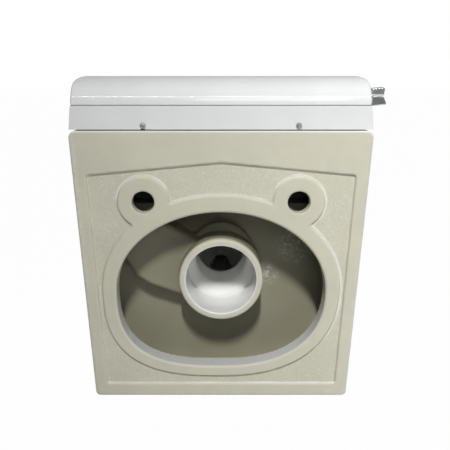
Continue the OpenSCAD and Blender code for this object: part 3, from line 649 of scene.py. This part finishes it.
# %% [markdown]
# ## China, bare and glazed
# Glaze is a glassy coat that the maker sprays on before firing, and the back that meets the wall stays
# bare. The border between the two could be painted by hand, but the measures that shaped the clay
# already know where every edge lies, so they say where the glaze is: on the outside, in the bowl and
# through the spigot. The back, the pocket and the bolt rooms are bare fired clay.

# %% Where the glaze ends
china = Finish("china", IOR=1.5)
x, y, z = china.x, china.y, china.z
toward_wall = china.facing()[1]
glaze_r, rising_r = 44.4, 34

in_pocket = soft_oval(x, z - pocket_z, mouth_a, mouth_b)
in_spigot = rod(x, z + outlet_drop, outlet_r)
edge, panel_edge = raised(x, z), panel(x, z)

rising = rod(x, (z + outlet_drop) * 0.93 + (y + 62) * 0.37, rising_r)
glazed_bore = larger(rod(x, z + outlet_drop, glaze_r).ramp(-0.3, 0.3, 1, 0),
                     rising.ramp(-0.5, 0.5, 1, 0) * y.ramp(-60, -58, 1, 0))
well_inside = (side_at(z) - abs(x)).ramp(3, 5) * z.ramp(77, 79, 1, 0) * z.ramp(-243, -241)
flat_back = y.ramp(-4.4, -3.4) * larger(toward_wall.ramp(0.72, 0.9), well_inside)
bolt_clay = (rod(abs(x) - bolt_x, z, 50)).ramp(-1, 0, 1, 0) * y.ramp(-62, -60)
pocket_walls = in_pocket.ramp(24, 26, 1, 0) * y.ramp(-132, -130)
bare = larger(larger(flat_back, pocket_walls), bolt_clay) * (1 - glazed_bore)
print("nodes that say where the clay is bare:", len(china.tree.nodes))

# %% [markdown]
# ## White lines and overspray
# Sprayed glaze gathers along raised edges and leaves fine beaded white lines there. The lines are drawn
# mostly where the edges face up or to the right, toward the key lamp, so they are partly a painted
# highlight. Some of the glaze drifts further: droplets and mist on the pocket's wall, a haze along one
# border, and a pale coat on the wall of the mouth, most of it at the foot. Each is a band along a
# measure, broken up by a noise.

# %% White lines along the edges: beaded glaze and painted highlight
beads = china.noise(1.1, 3, 0.7).ramp(0.38, 0.62)
long_wave = china.noise(34, 1).ramp(0.35, 0.65)
# These lines are drawn only on edges that face up or to the right, toward the key lamp: beaded glaze, and a painted
# highlight as well.
right_side = x.ramp(-40, -120)
between_ears = abs(x).ramp(50, 62, 1, 0) * z.ramp(-12, -2)
ear_tops = abs(x).ramp(60, 66) * z.ramp(-4, 10)
ring_line = edge.near(1.6, 2.4) * larger(larger(right_side * z.ramp(-190, -150), between_ears), ear_tops)
foot_line = (z + 228).near(0, 1.4) * abs(x).ramp(142, 138)
gable_line = panel_edge.near(-0.6, 1.2) * z.ramp(20, 30) * 0.35
glaze_beads_and_highlights = larger(larger(ring_line, foot_line), gable_line)
glaze_beads_and_highlights = glaze_beads_and_highlights * (0.45 + 0.55 * beads) * (0.5 + 0.5 * long_wave) * flat_back

# %% Droplets, mist and the coat on the mouth's wall
near_spigot = rod(x + 61, z + 110, 0).ramp(4, 18, 1, 0)
near_wall = rod((x + 95) * 0.9, z + 73, 0).ramp(6, 30, 1, 0)
spray = larger(near_spigot, near_wall) * y.ramp(-20, -26)
droplets = spray * china.specks(3.2).ramp(0.14, 0.3, 1, 0) * china.noise(9, 2).ramp(0.5, 0.6)
mist = spray * china.noise(5, 4, 0.75).ramp(0.4, 0.75) * 0.5
haze = (side_at(z) - x).ramp(1, 9, 1, 0) * z.ramp(-170, -20) * china.noise(6, 4, 0.7).ramp(0.35, 0.7) * 0.45
white_marks_and_highlights = larger(glaze_beads_and_highlights, larger(larger(droplets, mist), haze * flat_back) * bare)

mouth_wall = in_pocket.within(-5, 2.5, 1) * y.within(-lip_t + 1, -1.5, 1)
sprayed = mouth_wall * larger(z.ramp(-100, -158), 0.35 * x.ramp(60, -60)) * (0.75 + 0.25 * beads)
print("nodes with the white marks:", len(china.tree.nodes))

# %% [markdown]
# ## Colour and shine of the china
# Bare clay is never one colour: it drifts over a hand's width, is blotched, and carries pale and dark
# sand where the panel is rough. It is darker in the pocket, where hardly any spray lands, and that
# colour is partly painted shade for the pocket's depth. Deep in the bolt rooms the clay is painted near
# black, a painted shade. Two short seams show where parts of the casting mould met. All of it could be
# painted on an image; noises and masks need none, and stay sharp however close the eye comes.

# %% Colours of the china
bare_clay, grey_clay, pale_clay = (0.60, 0.585, 0.465), (0.50, 0.50, 0.405), (0.66, 0.65, 0.54)
# The pocket colours are partly painted shade for the pocket's depth; the near black colour of the bolt rooms is
# painted shade.
pocket_clay_and_shade, pale_pocket_clay_and_shade, painted_bolt_room_shade = (0.243, 0.232, 0.165), (0.295, 0.284, 0.212), (0.11, 0.108, 0.085)
pale_sand, dark_sand, seam_colour = (0.82, 0.81, 0.75), (0.44, 0.43, 0.33), (0.13, 0.125, 0.08)
glaze_white, cool_white = (0.80, 0.80, 0.78), (0.74, 0.745, 0.73)
# The white of the edge lines is partly a painted highlight.
bead_and_highlight_white, spray_white = (0.86, 0.86, 0.84), (0.60, 0.61, 0.62)

drift = china.noise(70, 2).ramp(0.3, 0.7)
blotches = china.noise(16, 4, 0.6).ramp(0.3, 0.7)
grain = china.noise(1.9, 4, 0.75)
behind_lip = larger(y.ramp(-26, -23, 1, 0), in_spigot.ramp(0.3, 2) * y.ramp(-24, -20, 1, 0))
inside = in_pocket.ramp(20, 24, 1, 0) * behind_lip
# Painted shade: deep in the bolt rooms the clay colour is near black, for the shadow there.
shaded_bolt_room = rod(abs(x) - bolt_x, z, 50).ramp(-1, 0, 1, 0) * y.ramp(-18, -15, 1, 0) * (1 - inside)
sandy = panel_edge.ramp(-2, 0, 1, 0) * edge.ramp(0, 1.5) * flat_back
arch_seam = (x - 1.9).near(0, 0.7) * z.within(-40, -6) * y.ramp(-26, -22, 1, 0)
short_seam = (x - 91 + (z + 118) * 0.6).near(0, 0.8) * z.within(-130, -116) * y.ramp(-40, -36, 1, 0)
seams = larger(arch_seam, short_seam) * bare

clay = blend(bare_clay, grey_clay, 0.4 * drift)
clay = blend(clay, pale_clay, 0.2 * blotches)
# The pocket's darker olive clay: partly its own colour, partly painted shade for its depth.
clay = blend(clay, blend(pocket_clay_and_shade, pale_pocket_clay_and_shade, 0.5 * drift), inside)
# Painted shade in the bolt rooms.
clay = blend(clay, painted_bolt_room_shade, shaded_bolt_room)
clay = blend(clay, pale_sand, 0.55 * sandy * grain.ramp(0.54, 0.68))
clay = blend(clay, dark_sand, 0.35 * sandy * grain.ramp(0.46, 0.34))
clay = blend(clay, seam_colour, 0.8 * seams)
clay = blend(clay, spray_white, 0.85 * sprayed)
white = blend(glaze_white, cool_white, 0.5 * drift)
# The white marks are overspray and beaded glaze, and along the lit edges also a painted highlight.
colour = blend(blend(white, clay, bare), bead_and_highlight_white, white_marks_and_highlights)

# %% Shine and unevenness of the china
clay_rough = 0.62 - 0.12 * (1 - sandy) + 0.2 * inside
rough = (1 - bare) * (0.07 + 0.04 * blotches) + bare * clay_rough
rough = rough * (1 - white_marks_and_highlights) + 0.12 * white_marks_and_highlights - 0.25 * sprayed
pits, ripple = china.noise(0.75, 3, 0.65), china.noise(24, 2, 0.4)
height = (sandy * pits * 0.26 + bare * china.noise(1.6, 3, 0.6) * 0.05 + white_marks_and_highlights * 0.35
          + (1 - bare) * ripple * 0.12 - seams * 0.3)
china.set(Base_Color=colour, Roughness=rough)
china.relief(height)
print("nodes of the whole china finish:", len(china.tree.nodes))

# %% [markdown]
# ## The seat unit's cover
# The side view of the cover is one curve: a soft square shoulder at the back, a shallow valley and a
# round nose over the hinge. Its ends are rounded like the corners of a pillow. It is a shell, so the
# same body made one wall smaller is taken away again, and so are the two bays for the hinge arms. A
# tongue along its lower edge reaches down behind the rear panel and closes the seam between them. An
# extruded curve with a bevel would round its ends too, but not leave an even wall behind them.

# %% Moulded top cover
skin, tongue_z, seam_z, crown_z, ends_round = 2.5, 105, 110, 141.8, 9
hinge_y, hinge_z, arm_x, shaft_r = -118, 120, 118, 5.05
shoulder_y, shoulder_reach, shoulder_rise, shoulder_power = -62, 57.5, 31.8, 2.5
valley_run, valley_z, valley_half, nose_r, cover_front = 42, 129.8, 6, 12, -131
cover_half, cover_lean, bay_far, bay_near = 169, 0.03, -140, -100
knob_out, knob_y, knob_z = 171.6, -50, 117.5


def turn(start, end, count):
    """Angles from start to end, given in degrees."""
    return np.radians(np.linspace(start, end, count))


def soft(c, n):
    return math.copysign(abs(c) ** (2 / n), c)


cover_side = [(shoulder_y + shoulder_reach * soft(math.cos(t), shoulder_power),
               seam_z + shoulder_rise * soft(math.sin(t), shoulder_power)) for t in turn(0, 90, 91)]
cover_side += [(shoulder_y - valley_run * t / math.pi, valley_z + valley_half * (1 + math.cos(t)))
               for t in turn(12, 180, 43)]
cover_side += [(hinge_y + nose_r * math.cos(t), hinge_z + nose_r * math.sin(t)) for t in turn(60, 180, 41)]
cover_side += [(cover_front, seam_z)]


def cover_shell(x, y, z):
    side = abs(x) - cover_half + cover_lean * (z - seam_z)
    profile = outline(cover_side, y, z)
    ends = both_of(side, z - crown_z, ends_round)
    bay = both_of(arm_x - abs(x), between(y, bay_far, bay_near))
    hollow = both_of(both_of(side + skin, z - crown_z + skin, ends_round),
                     np.minimum(profile + skin, larger(between(y, -128.5, -7), between(z, 100, 114))))
    shell = cut(both_of(ends, profile, 2.5), cut(hollow, bay - skin), 0.3)
    shell = cut(shell, bay, 1)
    tongue = both_of(abs(x) - 165, both_of(between(y, -9, -7.1), between(z, tongue_z, 112)))
    shell = np.minimum(shell, tongue)
    holes = np.minimum(both_of(rod(y - hinge_y, z - hinge_z, shaft_r), abs(x) - 130),
                       both_of(rod(y - knob_y, z - knob_z, 4.6), x + 150))
    return cut(shell, holes)


def fine_ends(low, high, wide, narrow, band=8):
    """Grid lines that lie closer together near both ends."""
    return np.concatenate([np.arange(low - narrow, low + band, narrow), np.arange(low + band, high - band, wide),
                           np.arange(high - band, high + 2 * narrow, narrow)])


cover = form("cover_shell", cover_shell, [fine_ends(-169.5, 169.5, 3 * fine, 1.1), steps(-131, -4.5, 1.1 * fine),
                                          steps(tongue_z, crown_z, 1.1 * fine)],
             most_triangles=190000)

# %% [markdown]
# ## Seat, lid and knob
# The seat is a soft ring with a groove under it, a notch for the wash nozzles and two arms that reach
# back to the hinge. The lid is a shell that covers it. The knob is a waisted grip of two wings, the lower
# one wider and curved. Two screws with a cross in their domed heads hold the rear panel. Boxes with a
# bevel would do for some of these, but moulded plastic has a fillet at every arm and rib as well.

# %% Seat ring
seat_z, seat_top, lid_z, front, seat_back = 86, 106, 108, 537.5, 133.5
hole_out, hole_across, hole_along, groove_wall, groove_top = 335.5, 105, 148, 6, 98
notch_half, notch_near, notch_far, notch_top = 24, 113.5, 193.5, 101
arm_in, arm_out_x, shaft_end = 121, 137, 119
arm_side = [(-121, 128.6), (-111, 114), (-133.5, 104), (-133.5, 97.5), (-163.5, 97.5), (-163.5, 106)]


def seat_clay(x, y, z):
    plan = soft_plan(x, y, 170.5, front - 0.5, nose, seat_back)
    hole = oval(x, y + hole_out, hole_across, hole_along)
    body = both_of(plan, between(z, seat_z, seat_top), 5)
    body = cut(body, hole, 7)
    groove = both_of(both_of(plan + groove_wall, groove_wall - hole, 3), z - groove_top, 2)
    body = cut(body, groove, 1.5)
    arms = either_of(outline(arm_side, y, z), rod(y - hinge_y, z - hinge_z, 9.5), 1)
    body = either_of(body, both_of(arms, between(abs(x), arm_in, arm_out_x), 1.5), 1.5)
    notch = both_of(both_of(abs(x) - notch_half, y + notch_near), both_of(z - notch_top, -notch_far - y))
    body = cut(body, notch, 0.8)
    bore = both_of(rod(y - hinge_y, z - hinge_z, shaft_r), shaft_end - abs(x))
    return cut(body, bore, 0.4)


seat = form("seat_body", seat_clay, [steps(-170.5, 170.5, 2.2 * fine), fine_ends(-front, -108, 3 * fine, 1.5, 30),
                                     steps(seat_z, 130, 1.6 * fine)],
            most_triangles=60000)

# %% Lid
lid_wall, boss_outer_r, boss_in, boss_out = 4, 13.6, 141, 168
lid_side = [(-133.5, 60), (-133.5, 134), (-330, 128), (-527.5, 122), (-534.5, 119), (-538.5, 113), (-538.5, 60)]


def lid_shell(x, y, z):
    plan = soft_plan(x, y, 171, front, nose, seat_back)
    side = outline(lid_side, y, z)
    outer = both_of(both_of(plan, side, 5), lid_z - z, 0.8)
    shell = cut(outer, both_of(plan + lid_wall, side + lid_wall, 3), 0.8)
    notch = both_of(both_of(between(abs(x), 119, 139), between(y, -139, -120)), z - 131.5)
    boss = either_of(rod(y - hinge_y, z - hinge_z, boss_outer_r),
                     both_of(between(y, -135.5, -118), between(z, lid_z, 134)), 1)
    shell = either_of(cut(shell, notch, 0.6), both_of(boss, between(abs(x), boss_in, boss_out), 1.5), 1)
    bore = both_of(rod(y - hinge_y, z - hinge_z, shaft_r), between(abs(x), boss_in - 3, boss_out - 1.6))
    return cut(shell, bore, 0.4)


lid = form("lid_shell", lid_shell, [steps(-171, 171, 2.0 * fine), fine_ends(-front - 1, -104, 3 * fine, 1.4, 36),
                                    steps(106, 134.5, 1.2 * fine)],
           most_triangles=60000)

# %% Wash knob
upper_wing = [(-2, 9.8), (-18.4, 11), (-20.9, 9.6), (-19.6, 1.4), (-2, 2.2)]
lower_wing = [(-2, 1.4), (-19.8, 0.2), (-24.4, -8), (-23.4, -9.2), (-2, -11)]


def knob_shape(x, y, z):
    out, along, up = x + knob_out, y - knob_y, z - knob_z
    upper = both_of(outline(upper_wing, out, up), abs(along) - 6, 1.6)
    lower = both_of(outline(lower_wing, out, up), rod((out + 11) * 0.45, along, 6.2), 0.9)
    neck = both_of(rod(along, up, 8.5), between(out, -6, 0), 0.6)
    spindle = both_of(rod(along, up, 4.02), -8 - out)
    return cut(either_of(either_of(upper, lower, 0.4), neck, 0.8), spindle)


knob = form("knob_grip", knob_shape, [steps(-196.2, -171.6, 0.5), steps(-58.5, -41.5, 0.5),
                                      steps(106.2, 128.6, 0.5)],
            most_triangles=24000)

# %% Cross-head screws of the rear panel
screw_x, screw_z, head_r, dome_r, cross_half, cross_long = 88, 87.5, 3.5, 6.2, 0.55, 2.1


def screw_shape(x, y, z):
    out, up = abs(x) - screw_x, z - screw_z
    dome = rod(rod(out, up, 0), y + 8.6, dome_r)
    head = both_of(both_of(rod(out, up, head_r), -4.5 - y), dome, 0.4)
    a, b = (out + up) * 0.7071, (out - up) * 0.7071
    arm = np.minimum(both_of(abs(a) - cross_half, abs(b) - cross_long),
                     both_of(abs(b) - cross_half, abs(a) - cross_long))
    head = cut(head, both_of(arm, -3.7 - y), 0.15)
    return either_of(head, both_of(rod(out, up, 1.8), between(y, -20.5, -4.4)), 0.1)


screws = form("cross_screws", screw_shape, [
    np.concatenate([steps(-92, -84, 0.3), steps(84, 92, 0.3)]),
    np.concatenate([np.arange(-21, -5, 1.0), np.arange(-5, -2, 0.2)]), steps(83.5, 91.5, 0.3)],
    most_triangles=16000)

# %% Bodies, replaced nodes and slots
made_forms = [(pan, "frame", "pan", "china"), (cover, "frame", "top_cover", "cover_plastic"),
              (seat, "seat", "seat_ring", "cover_plastic"), (lid, "lid", "lid", "cover_plastic"),
              (knob, "knob", "wash_knob", "chrome"), (screws, "frame", "panel_screws", "steel")]
for made, body, node, slot in made_forms:
    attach(made, body)
    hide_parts(node)
print("made forms:", ", ".join(made.name for made, *_ in made_forms))

# %% [markdown]
# ## Finishes of the moulded and metal pieces
# No made surface is even. A gloss moulding has a faint orange skin, fine wipe marks and a little dust
# on what faces up. Turned brass shows rings and tarnish, brushed steel fine lines, rubber a pale bloom.
# Each finish could be a tree of its own; three functions of a colour, its second colour, its shine and
# the size of its marks cover them all.

# %% Moulded, rubber and metal finishes
def moulded(name, colour, dusty, rough, skin_mm, gloss_coat):
    """Injection moulding: soft mottling, orange skin, wipe marks, dust on what faces up."""
    made = Finish(name, Coat_Weight=gloss_coat, Coat_Roughness=0.04, IOR=1.5)
    up = made.facing()[2]
    mottle = made.noise(45, 2).ramp(0.3, 0.7)
    fleck = made.specks(2.3).ramp(0.05, 0.12, 1, 0) * made.noise(11, 2).ramp(0.55, 0.7)
    wipes = made.noise(2.2, 3, 0.6, (0.05, 0.4, 1)).ramp(0.5, 0.8)
    dust = up.ramp(0.5, 1) * made.noise(5, 4, 0.7).ramp(0.45, 0.8)
    tone = blend(colour, tuple(0.965 * c for c in colour), mottle)
    tone = blend(tone, dusty, 0.1 * dust)
    tone = blend(tone, tuple(0.8 * c for c in dusty), 0.3 * fleck)
    made.set(Base_Color=tone, Roughness=rough * (0.8 + 0.4 * wipes) + 0.12 * dust + 0.1 * fleck)
    made.relief(made.noise(7, 2) * skin_mm + made.noise(0.9, 2) * skin_mm * 0.08)
    return made.material


def rubbery(name, colour, bloom):
    """Moulded rubber: pale bloom in patches, fine grain, scuffs."""
    made = Finish(name, IOR=1.52)
    patches = made.noise(4, 4, 0.7).ramp(0.45, 0.75)
    scuffs = made.noise(1.4, 3, 0.6, (1, 0.15, 1)).ramp(0.6, 0.8)
    grain = made.noise(0.35, 2, 0.7)
    made.set(Base_Color=blend(blend(colour, bloom, 0.35 * patches), bloom, 0.25 * scuffs),
             Roughness=0.55 + 0.25 * patches - 0.1 * scuffs)
    made.relief(grain * 0.05 + patches * 0.03)
    return made.material


def metal(name, colour, stained, rough, lines, line_mm, stain_share, stretch):
    """Metal: fine worked lines, stains or water spots in patches, small dents."""
    made = Finish(name, Metallic=1.0)
    worked = made.noise(line_mm, 3, 0.7, stretch)
    stains = made.noise(6, 4, 0.65).ramp(0.5, 0.75)
    spots = made.specks(3.1).ramp(0.1, 0.2, 1, 0) * made.noise(8, 2).ramp(0.5, 0.65)
    tone = blend(blend(colour, stained, stain_share * stains), stained, 0.35 * spots)
    tone = blend(tone, tuple(0.82 * c for c in colour), lines * worked.ramp(0.35, 0.65))
    made.set(Base_Color=tone, Roughness=rough + 0.12 * stains + 0.15 * spots + lines * 0.2 * worked)
    made.relief(worked * lines * 0.03 + made.noise(5, 2) * 0.02)
    return made.material


slots = {
    "china": china.material,
    "cover_plastic": moulded("cover", (0.78, 0.785, 0.79), (0.62, 0.61, 0.58), 0.16, 0.008, 0.3),
    "inner_plastic": moulded("inner", (0.66, 0.67, 0.67), (0.5, 0.49, 0.46), 0.42, 0.015, 0.0),
    "rubber": rubbery("rubber", (0.045, 0.045, 0.046), (0.16, 0.16, 0.155)),
    "chrome": metal("chrome", (0.74, 0.75, 0.76), (0.52, 0.52, 0.5), 0.06, 0.15, 0.5, 0.25, (1, 1, 1)),
    "steel": metal("steel", (0.52, 0.52, 0.53), (0.36, 0.35, 0.33), 0.24, 0.7, 0.3, 0.3, (0.06, 1, 1)),
    "brass": metal("brass", (0.66, 0.5, 0.24), (0.38, 0.27, 0.13), 0.22, 0.5, 0.4, 0.5, (1, 0.15, 1)),
}
for row in frame["record"]["subparts"]:
    for place in nodes[row["node"]].material_slots:
        place.material = slots[row["material_slot"]]
for made, body, node, slot in made_forms:
    made.data.materials.append(slots[slot])
print("finishes:", ", ".join(slots))
